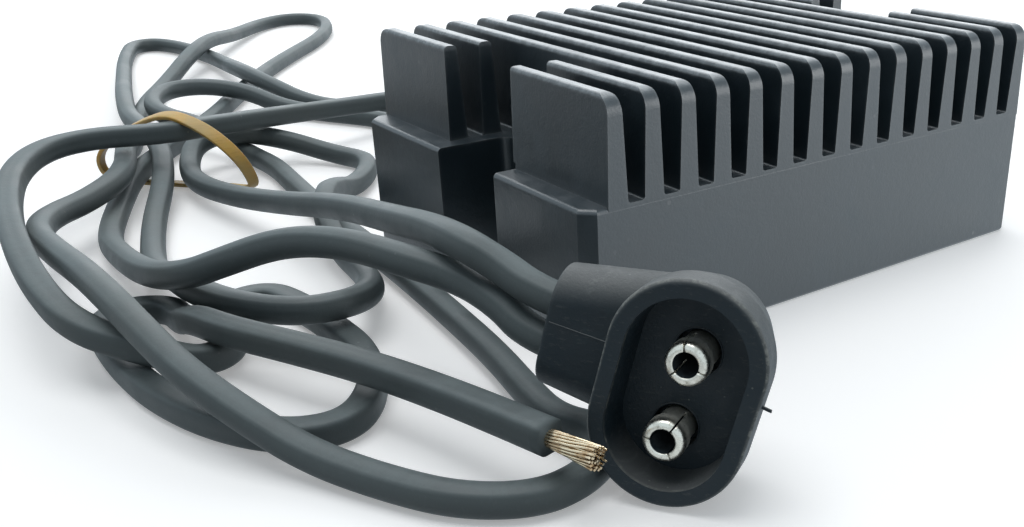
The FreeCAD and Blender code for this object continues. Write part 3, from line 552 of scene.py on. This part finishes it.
def sweep(path, profile, closed_path, side_of):
    """A mesh skin through copies of a closed profile. side_of gives each point's sideways axis."""
    mesh = bmesh.new()
    count = len(path)
    rings = []
    for k, place in enumerate(path):
        ahead = path[(k + 1) % count] if closed_path or k < count - 1 else place
        behind = path[k - 1] if closed_path or k > 0 else place
        along = (ahead - behind).normalized()
        side = side_of(k, along).normalized()
        out = along.cross(side).normalized()
        rings.append([mesh.verts.new(place + side * a + out * b) for a, b in profile])
    size = len(profile)
    for k in range(count if closed_path else count - 1):
        one, two = rings[k], rings[(k + 1) % count]
        for j in range(size):
            mesh.faces.new((one[j], one[(j + 1) % size], two[(j + 1) % size], two[j]))
    if not closed_path:
        mesh.faces.new(rings[0])
        mesh.faces.new(rings[-1])
    bmesh.ops.recalc_face_normals(mesh, faces=mesh.faces)
    for face in mesh.faces:
        face.smooth = True
    data = bpy.data.meshes.new("swept")
    mesh.to_mesh(data)
    mesh.free()
    return data


def round_box_profile(width, thickness, corner, steps=4):
    """Points round a rectangle with round corners, as (across, out)."""
    a, b = width / 2 - corner, thickness / 2 - corner
    points = []
    for cx, cy, start in ((a, b, 0), (-a, b, 90), (-a, -b, 180), (a, -b, 270)):
        for k in range(steps + 1):
            angle = math.radians(start + 90 * k / steps)
            points.append((cx + corner * math.cos(angle), cy + corner * math.sin(angle)))
    return points


def sheath_profile(diameter, squareness, steps=40):
    """A round section, a little squared, with two faint lengthwise ridges from its moulding."""
    points = []
    for k in range(steps):
        angle = 2 * math.pi * k / steps
        ridge = max(math.exp(-((angle - at) / SHEATH_RIDGE_SPREAD) ** 2) for at in SHEATH_RIDGES)
        radius = diameter / 2 * (1 - squareness * math.cos(4 * angle)) + SHEATH_RIDGE_HEIGHT * ridge
        points.append((radius * math.cos(angle), radius * math.sin(angle)))
    return points


def plug_place(across, inward, up):
    """A place given along the plug's own axes."""
    return PLUG_MIDDLE + PLUG_ACROSS * across + PLUG_INWARD * inward + PLUG_UP * up


def welded_copy(node, name):
    """A merged, smooth-shaded copy of a node's mesh."""
    mesh = NODES[node].data.copy()
    work = bmesh.new()
    work.from_mesh(mesh)
    bmesh.ops.remove_doubles(work, verts=work.verts, dist=1e-7)
    for face in work.faces:
        face.smooth = True
    work.to_mesh(mesh)
    work.free()
    mesh.name = name
    return mesh


# Geometry Nodes

def add_node(tree, kind, settings=None, values=None):
    node = tree.nodes.new(kind)
    for key, value in (settings or {}).items():
        setattr(node, key, value)
    for key, value in (values or {}).items():
        if isinstance(value, bpy.types.NodeSocket):
            tree.links.new(value, node.inputs[key])
        else:
            node.inputs[key].default_value = value
    return node


def bundle_tree(material):
    """Bare wires in rings that twist round an axis and spread toward their tips."""
    tree = bpy.data.node_groups.new("bare_bundle", "GeometryNodeTree")
    tree.interface.new_socket("Geometry", in_out="INPUT", socket_type="NodeSocketGeometry")
    tree.interface.new_socket("Outer wires", in_out="INPUT", socket_type="NodeSocketInt")
    for name in ("Wire diameter", "Root diameter", "Tip diameter", "Length", "Twist", "Seed"):
        tree.interface.new_socket(name, in_out="INPUT", socket_type="NodeSocketFloat")
    tree.interface.new_socket("Geometry", in_out="OUTPUT", socket_type="NodeSocketGeometry")
    given = tree.nodes.new("NodeGroupInput").outputs

    def maths(operation, *values):
        return add_node(tree, "ShaderNodeMath", {"operation": operation}, dict(enumerate(values))).outputs[0]

    join = tree.nodes.new("GeometryNodeJoinGeometry")
    for share, part, twist in WIRE_RINGS:
        wires = maths("ROUND", maths("MULTIPLY", given["Outer wires"], part))
        ring = add_node(tree, "GeometryNodeMeshCircle", None, {"Vertices": wires, "Radius": share})
        line = add_node(tree, "GeometryNodeCurvePrimitiveLine", None, {"Start": (0, 0, 0), "End": (0, 0, 1)})
        steps = add_node(tree, "GeometryNodeResampleCurve", None, {"Curve": line.outputs[0], "Count": 16})
        copies = add_node(tree, "GeometryNodeInstanceOnPoints", None, {
            "Points": ring.outputs[0], "Instance": steps.outputs[0]})
        wires_real = add_node(tree, "GeometryNodeRealizeInstances", None, {0: copies.outputs[0]})
        here = add_node(tree, "GeometryNodeInputPosition").outputs[0]
        split = add_node(tree, "ShaderNodeSeparateXYZ", None, {0: here}).outputs
        stray = add_node(tree, "ShaderNodeTexNoise", {"noise_dimensions": "4D"}, {
            "Vector": here, "W": given["Seed"], "Scale": 2.6, "Detail": 1.0}).outputs
        flat = add_node(tree, "ShaderNodeVectorMath", {"operation": "MULTIPLY"}, {0: here, 1: (1, 1, 0)})
        reach = add_node(tree, "ShaderNodeTexNoise", {"noise_dimensions": "4D"}, {
            "Vector": flat.outputs[0], "W": given["Seed"], "Scale": 3.5, "Detail": 0.0}).outputs[0]
        radius = add_node(tree, "ShaderNodeMapRange", None, {
            "Value": split[2], "To Min": maths("MULTIPLY", given["Root diameter"], 0.5),
            "To Max": maths("MULTIPLY", given["Tip diameter"], 0.5)}).outputs[0]
        length = maths("MULTIPLY", given["Length"], maths("MULTIPLY_ADD", reach, -0.16, 1.08))
        wide = add_node(tree, "ShaderNodeCombineXYZ", None, {0: radius, 1: radius, 2: length})
        sized = add_node(tree, "ShaderNodeVectorMath", {"operation": "MULTIPLY"}, {
            0: here, 1: wide.outputs[0]})
        swing = add_node(tree, "ShaderNodeVectorMath", {"operation": "SUBTRACT"}, {
            0: stray[1], 1: (0.5, 0.5, 0.5)})
        loose = maths("MULTIPLY", split[2], maths("MULTIPLY", given["Wire diameter"], 1.3))
        sway = add_node(tree, "ShaderNodeVectorMath", {"operation": "SCALE"}, {
            0: swing.outputs[0], "Scale": loose})
        moved = add_node(tree, "ShaderNodeVectorMath", {"operation": "ADD"}, {
            0: sized.outputs[0], 1: sway.outputs[0]})
        turn = maths("MULTIPLY", maths("MULTIPLY", given["Twist"], twist), split[2])
        turned = add_node(tree, "ShaderNodeVectorRotate", {"rotation_type": "Z_AXIS"}, {
            "Vector": moved.outputs[0], "Angle": turn})
        placed = add_node(tree, "GeometryNodeSetPosition", None, {
            "Geometry": wires_real.outputs[0], "Position": turned.outputs[0]})
        section = add_node(tree, "GeometryNodeCurvePrimitiveCircle", None, {
            "Resolution": 10, "Radius": maths("MULTIPLY", given["Wire diameter"], 0.5)})
        skin = add_node(tree, "GeometryNodeCurveToMesh", None, {
            "Curve": placed.outputs[0], "Profile Curve": section.outputs[0], "Fill Caps": True})
        tree.links.new(skin.outputs[0], join.inputs[0])
    real = add_node(tree, "GeometryNodeRealizeInstances", None, {0: join.outputs[0]})
    coated = add_node(tree, "GeometryNodeSetMaterial", None, {
        "Geometry": real.outputs[0], "Material": material})
    out = tree.nodes.new("NodeGroupOutput")
    tree.links.new(coated.outputs[0], out.inputs[0])
    return tree


def grown_mesh(name, tree, inputs):
    """The plain mesh that a node tree makes from nothing, with named inputs."""
    holder = bpy.data.objects.new(name + "_maker", bpy.data.meshes.new(name + "_seed"))
    bpy.context.scene.collection.objects.link(holder)
    modifier = holder.modifiers.new("maker", "NODES")
    modifier.node_group = tree
    for item in tree.interface.items_tree:
        if item.in_out == "INPUT" and item.name in inputs:
            modifier[item.identifier] = inputs[item.name]
    bpy.context.view_layer.update()
    ready = holder.evaluated_get(bpy.context.evaluated_depsgraph_get())
    mesh = bpy.data.meshes.new_from_object(ready)
    bpy.data.objects.remove(holder)
    return mesh


def axes_from(origin, along):
    """A matrix whose Z runs along a direction, at a place."""
    turn = along.to_track_quat("Z", "Y").to_matrix().to_4x4()
    return Matrix.Translation(origin) @ turn


# Operators, one for each group of pieces

class RECTIFIER_OT_finishes(bpy.types.Operator):
    """Give every solid of the model its finish"""
    bl_idname = "rectifier.finishes"
    bl_label = "Finishes"

    def execute(self, context):
        sizes = context.scene.rectifier
        package = plain_finish("black_package", (0.02, 0.02, 0.022), 0.4, 500)
        steel = plain_finish("zinc_plate", (0.55, 0.55, 0.56), 0.3, 400, metallic=1.0)
        finishes = {
            "heatsink": cast_finish(sizes.coat_colour),
            "potting_compound": potting_finish(),
            "plug_housing": plug_finish(sizes.plug_colour),
            "plug_pin_a": pin_finish(),
            "lead_grommet": plain_finish("bush_rubber", (0.02, 0.021, 0.022), 0.6, 300, 0.0001),
            "insulator_pads": plain_finish("grey_pad", (0.5, 0.51, 0.53), 0.7, 300),
            "clamp_bar": steel,
            "clamp_screws": steel,
            "circuit_board": plain_finish("green_laminate", (0.05, 0.2, 0.08), 0.35, 200),
            "capacitor": plain_finish("dark_sleeve", (0.03, 0.04, 0.08), 0.3, 300),
            "control_transistors": package,
            "resistors": plain_finish("tan_coating", (0.62, 0.5, 0.34), 0.5, 600),
            "zener_diode": plain_finish("black_moulding", (0.03, 0.03, 0.032), 0.3, 400),
            "lead_terminals": plain_finish("tinned_tab", (0.75, 0.6, 0.42), 0.3, 500, metallic=1.0),
        }
        for name in ("scr_a", "scr_b", "diode_a", "diode_b"):
            finishes[name] = package
        for name, material in finishes.items():
            data = NODES[name].data
            data.materials.clear()
            data.materials.append(material)
        return {"FINISHED"}


class RECTIFIER_OT_leads(bpy.types.Operator):
    """Lay the three leads along their routes"""
    bl_idname = "rectifier.leads"
    bl_label = "Leads"

    def execute(self, context):
        diameter = context.scene.rectifier.lead_diameter
        material = sheath_finish(context.scene.rectifier.sheath_colour)
        plug = ["plug_housing", "plug_pin_a_turned", "plug_pin_b_turned", "plug_nib", "plug_mould_line"]
        leads = (
            ("lead_output", "output_lead", OUTPUT_ROUTE, OUTPUT_EXIT, 0.556, "bare", ["bare_wires"], 0.08),
            ("lead_plug_upper", "plug_lead_a", UPPER_PLUG_ROUTE, UPPER_PLUG_EXIT, 0.891, "plug", plug, 0.012),
            ("lead_plug_lower", "plug_lead_b", LOWER_PLUG_ROUTE, LOWER_PLUG_EXIT, 1.252, "plug", plug, 0.012))
        for name, node, route, exit_place, length, far_end, others, squareness in leads:
            path = points_on(curve_line(route, name))
            mesh = sweep(path, sheath_profile(diameter, squareness), False,
                         lambda k, along: Vector((0, 0, 1)).cross(along))
            lead = new_piece(name, mesh, material, slot="lead_sheath", replaces=(node,))
        return {"FINISHED"}


class RECTIFIER_OT_bare_end(bpy.types.Operator):
    """Make the bare bundle of wires at the output lead's end"""
    bl_idname = "rectifier.bare_end"
    bl_label = "Bare lead end"

    def execute(self, context):
        sizes = context.scene.rectifier
        end = Vector(OUTPUT_ROUTE[-1])
        along = (end - Vector(OUTPUT_ROUTE[-2])).normalized()
        material = wire_finish()
        mesh = grown_mesh("bare_wires", bundle_tree(material), {
            "Outer wires": sizes.wire_count, "Wire diameter": sizes.wire_diameter,
            "Root diameter": BUNDLE_ROOT, "Tip diameter": BUNDLE_TIP,
            "Length": sizes.bundle_length + BUNDLE_SUNK, "Twist": sizes.bundle_twist, "Seed": BUNDLE_SEED})
        mesh.transform(axes_from(end - along * BUNDLE_SUNK, along))
        for face in mesh.polygons:
            face.use_smooth = True
        new_piece("bare_wires", mesh, material, slot="strand", replaces=("output_strands",))
        return {"FINISHED"}


class RECTIFIER_OT_band(bpy.types.Operator):
    """Make the loose rubber band round the leads"""
    bl_idname = "rectifier.band"
    bl_label = "Rubber band"

    def execute(self, context):
        sizes = context.scene.rectifier
        path = points_on(curve_line(BAND_LOOP, "band_line", closed=True, resolution=10))
        profile = round_box_profile(sizes.band_width, sizes.band_thickness, sizes.band_thickness * 0.3)

        def lean(k, along):
            step = k / len(path) * len(BAND_ROLLS)
            low, part = int(step) % len(BAND_ROLLS), step % 1
            roll = BAND_ROLLS[low] * (1 - part) + BAND_ROLLS[(low + 1) % len(BAND_ROLLS)] * part
            return BAND_ACROSS - along.cross(BAND_ACROSS) * roll

        mesh = sweep(path, profile, True, lean)
        new_piece("rubber_band", mesh, band_finish(sizes.band_colour), slot="band_rubber",
                  replaces=("lead_band",))
        return {"FINISHED"}


class RECTIFIER_OT_plug_details(bpy.types.Operator):
    """Turn the plug's pins, and add the wells' lips, the mould line and the nib of flash"""
    bl_idname = "rectifier.plug_details"
    bl_label = "Plug details"

    def execute(self, context):
        metal = NODES["plug_pin_a"].data.materials[0]
        moulding = NODES["plug_housing"].data.materials[0]
        for node, degrees in PIN_TURNS.items():
            mesh = welded_copy(node, node + "_turned")
            centre = plug_place(0, 0, PIN_HEIGHTS[node])
            turn = Matrix.Rotation(math.radians(degrees), 4, PLUG_INWARD)
            mesh.transform(Matrix.Translation(centre) @ turn @ Matrix.Translation(-centre))
            mesh.set_sharp_from_angle(angle=math.radians(35))
            new_piece(node + "_turned", mesh, metal, slot="pin_plate", replaces=(node,))

        rings = bmesh.new()
        for height in PIN_HEIGHTS.values():
            turns = (2 * math.pi * k / WELL_LIP_STEPS for k in range(WELL_LIP_STEPS))
            path = [plug_place(WELL_LIP * math.cos(a), RECESS_FLOOR, height + WELL_LIP * math.sin(a))
                    for a in turns]
            ring = sweep(path, round_box_profile(0.00034, 0.00024, 0.0001, 3), True,
                         lambda k, along: PLUG_INWARD)
            rings.from_mesh(ring)
            bpy.data.meshes.remove(ring)
        mesh = bpy.data.meshes.new("plug_well_lips")
        rings.to_mesh(mesh)
        rings.free()
        new_piece("plug_well_lips", mesh, moulding, slot="plug_shell")

        run = MOULD_LINE_END - MOULD_LINE_START
        path = [plug_place(MOULD_LINE_START + run * k / MOULD_LINE_STEPS, MOULD_LINE_INWARD,
                           MOULD_LINE_UP + MOULD_LINE_RISE * k) for k in range(MOULD_LINE_STEPS + 1)]
        mesh = sweep(path, round_box_profile(0.00022, 0.00020, 0.00008, 2), False,
                     lambda k, along: PLUG_UP)
        new_piece("plug_mould_line", mesh, moulding, slot="plug_shell")

        across, inward, up = NIB_ROOT
        path = [plug_place(across + NIB_LENGTH * k / NIB_STEPS, inward + NIB_BEND * (k / NIB_STEPS) ** 2,
                           up - NIB_DROP * k) for k in range(NIB_STEPS + 1)]
        mesh = sweep(path, round_box_profile(0.00042, 0.00034, 0.0001, 2), False,
                     lambda k, along: PLUG_UP)
        new_piece("plug_nib", mesh, moulding, slot="plug_shell")
        return {"FINISHED"}


class RECTIFIER_OT_stage(bpy.types.Operator):
    """Set up the table, the lamps, the surround and the camera"""
    bl_idname = "rectifier.stage"
    bl_label = "Stage"

    def execute(self, context):
        scene = context.scene
        scene.view_settings.view_transform = "Standard"
        f = Finish("pale_table", 0.8, Emission_Strength=1.0)
        seen = f.add("ShaderNodeLightPath")
        mirrored = f.add("ShaderNodeLightPath", out=GLOSSY_RAY)
        left_to_right = f.add("ShaderNodeSeparateXYZ", None, {0: f.place})
        bright = f.step(left_to_right, GLOW_START, GLOW_END)
        glow = f.mix(mirrored * (0.02 + bright * 0.98), (0, 0, 0, 1), (0.88, 1.0, 1.08, 1))
        glow = f.mix(seen, glow, (0.28, 0.28, 0.28, 1))
        f.finish(f.mix(seen, (0.30, 0.30, 0.30, 1), (0.88, 0.88, 0.88, 1)), glow=glow)
        mesh = bpy.data.meshes.new("table")
        mesh.from_pydata([(-TABLE_HALF, -TABLE_HALF, 0), (TABLE_HALF, -TABLE_HALF, 0),
                          (TABLE_HALF, TABLE_HALF, 0), (-TABLE_HALF, TABLE_HALF, 0)], [], [(0, 1, 2, 3)])
        mesh.materials.append(f.material)
        table = bpy.data.objects.new("table", mesh)
        scene.collection.objects.link(table)

        world = bpy.data.worlds.new("surround")
        world.use_nodes = True
        nodes, links = world.node_tree.nodes, world.node_tree.links
        ground = nodes["Background"]
        path = nodes.new("ShaderNodeLightPath")
        tint = nodes.new("ShaderNodeMix")
        tint.data_type = "RGBA"
        tint.inputs[MIX_FIRST].default_value = (0.78, 0.91, 1.0, 1)
        tint.inputs[MIX_SECOND].default_value = (1.0, 1.0, 1.0, 1)
        links.new(path.outputs["Is Camera Ray"], tint.inputs[MIX_SHARE])
        links.new(tint.outputs[MIX_COLOUR], ground.inputs["Color"])
        mirrored = nodes.new("ShaderNodeMapRange")
        mirrored.inputs["To Min"].default_value = 0.30
        mirrored.inputs["To Max"].default_value = 1.0
        links.new(path.outputs["Is Glossy Ray"], mirrored.inputs["Value"])
        strength = nodes.new("ShaderNodeMapRange")
        strength.inputs["To Max"].default_value = 1.0
        links.new(mirrored.outputs[0], strength.inputs["To Min"])
        links.new(path.outputs["Is Camera Ray"], strength.inputs["Value"])
        links.new(strength.outputs[0], ground.inputs["Strength"])
        scene.world = world

        for name, place, size, power in LAMPS:
            lamp = bpy.data.lights.new(name, "AREA")
            lamp.size = size
            lamp.energy = power
            holder = bpy.data.objects.new(name, lamp)
            holder.matrix_world = axes_from(Vector(place), Vector(place) - LAMP_AIM)
            holder.visible_camera = False
            scene.collection.objects.link(holder)

        camera = bpy.data.cameras.new("camera")
        camera.sensor_width = CAMERA_SENSOR
        camera.lens = CAMERA_LENS
        camera.shift_x = -(AXIS_PIXEL_X - PICTURE_WIDTH / 2) / PICTURE_WIDTH
        camera.shift_y = (AXIS_PIXEL_Y - PICTURE_HEIGHT / 2) / PICTURE_WIDTH
        camera.clip_start = 0.005
        holder = bpy.data.objects.new("camera", camera)
        holder.location = CAMERA_PLACE
        holder.rotation_euler = (math.radians(CAMERA_TILT), 0, math.radians(CAMERA_TURN))
        scene.collection.objects.link(holder)
        scene.camera = holder
        return {"FINISHED"}


OPERATORS = (RECTIFIER_OT_stage, RECTIFIER_OT_finishes, RECTIFIER_OT_bare_end,
             RECTIFIER_OT_plug_details, RECTIFIER_OT_leads, RECTIFIER_OT_band)


class RECTIFIER_PT_pieces(bpy.types.Panel):
    """Sizes, colours and pieces of the rectifier"""
    bl_idname = "RECTIFIER_PT_pieces"
    bl_label = "Alternator rectifier"
    bl_space_type = "VIEW_3D"
    bl_region_type = "UI"
    bl_category = "Rectifier"

    def draw(self, context):
        sizes = context.scene.rectifier
        for name in RectifierSizes.__annotations__:
            self.layout.prop(sizes, name)
        for operator in OPERATORS:
            self.layout.operator(operator.bl_idname)


CLASSES = (RectifierSizes, *OPERATORS, RECTIFIER_PT_pieces)


def register():
    for item in CLASSES:
        bpy.utils.register_class(item)
    bpy.types.Scene.rectifier = PointerProperty(type=RectifierSizes)


def unregister():
    del bpy.types.Scene.rectifier
    for item in reversed(CLASSES):
        bpy.utils.unregister_class(item)


def main():
    register()
    for make in (bpy.ops.rectifier.stage, bpy.ops.rectifier.finishes, bpy.ops.rectifier.bare_end,
                 bpy.ops.rectifier.plug_details, bpy.ops.rectifier.leads, bpy.ops.rectifier.band):
        make()


if __name__ == "__main__":
    main()
